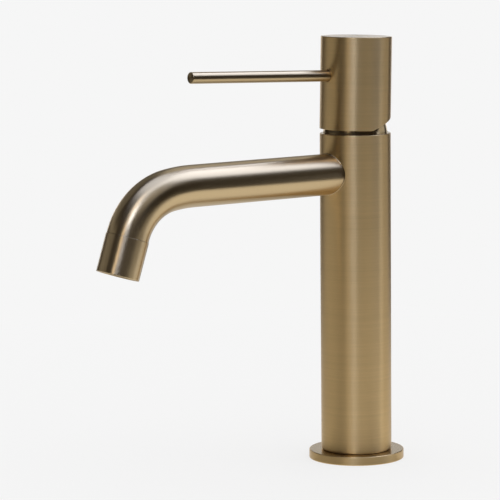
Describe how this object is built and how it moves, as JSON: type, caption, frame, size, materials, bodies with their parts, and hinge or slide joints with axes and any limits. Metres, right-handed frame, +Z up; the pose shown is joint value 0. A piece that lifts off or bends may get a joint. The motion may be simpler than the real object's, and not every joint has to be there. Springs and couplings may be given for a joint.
{
  "type": "bathroom mixer faucet",
  "caption": "Deck-mounted single-lever basin mixer: round column on a low flange, level tube spout bent down to its outlet, and a pin lever that lifts for flow and turns for heat.",
  "frame": {"origin": "middle of the foot, on the deck plane under the column", "axes": "+Z up along the column; the spout and the lever point along -Y; +X to the right of someone who faces the spout"},
  "size_m": [0.0512, 0.188, 0.2285],
  "materials": {
    "brushed_bronze": "finely brushed round the axis, warm bronze",
    "polished_bronze": "polished, warm bronze",
    "machined_brass": "bare turned brass",
    "copper_pipe": "drawn copper",
    "seal_rubber": "matt black rubber",
    "moulded_plastic": "moulded acetal",
    "disc_ceramic": "lapped alumina",
    "hard_steel": "ground stainless steel"
  },
  "bodies": {
    "faucet_body": {"base_flange": "brushed_bronze", "base_gasket": "seal_rubber", "base_block": "machined_brass", "column_tube": "brushed_bronze", "hot_riser_pipe": "copper_pipe", "cold_riser_pipe": "copper_pipe", "valve_block": "machined_brass", "spout_tube": "polished_bronze", "aerator_sleeve": "polished_bronze", "aerator_washer": "seal_rubber", "aerator_housing": "moulded_plastic", "aerator_screen": "moulded_plastic", "aerator_diffuser": "moulded_plastic", "cartridge_housing": "moulded_plastic", "cartridge_base": "moulded_plastic", "port_seals": "seal_rubber", "disc_seals": "seal_rubber", "fixed_ceramic_disc": "disc_ceramic", "retaining_nut": "machined_brass", "dome_cover": "polished_bronze"},
    "rotor": {"cartridge_rotor": "moulded_plastic", "pivot_pin": "hard_steel"},
    "handle": {"cartridge_stem": "machined_brass", "handle_cap": "brushed_bronze", "lever_rod": "polished_bronze", "handle_grub_screw": "hard_steel"},
    "valve_disc": {"moving_ceramic_disc": "disc_ceramic", "disc_carrier": "moulded_plastic"}
  },
  "joints": [
    {"name": "temperature_turn", "type": "hinge", "parent": "faucet_body", "child": "rotor", "pos_m": [0, 0, 0.1825], "axis": [0, 0, 1], "range_deg": [-45, 45]},
    {"name": "lever_lift", "type": "hinge", "parent": "rotor", "child": "handle", "pos_m": [0, 0, 0.1825], "axis": [-1, 0, 0], "range_deg": [0, 20]},
    {"name": "disc_slide", "type": "slide", "parent": "rotor", "child": "valve_disc", "axis": [0, -1, 0], "range_m": [0, 0.00275]}
  ],
  "couplings": [
    {"joint": "disc_slide", "follows": "lever_lift", "m_per_rad": 0.00779}
  ]
}
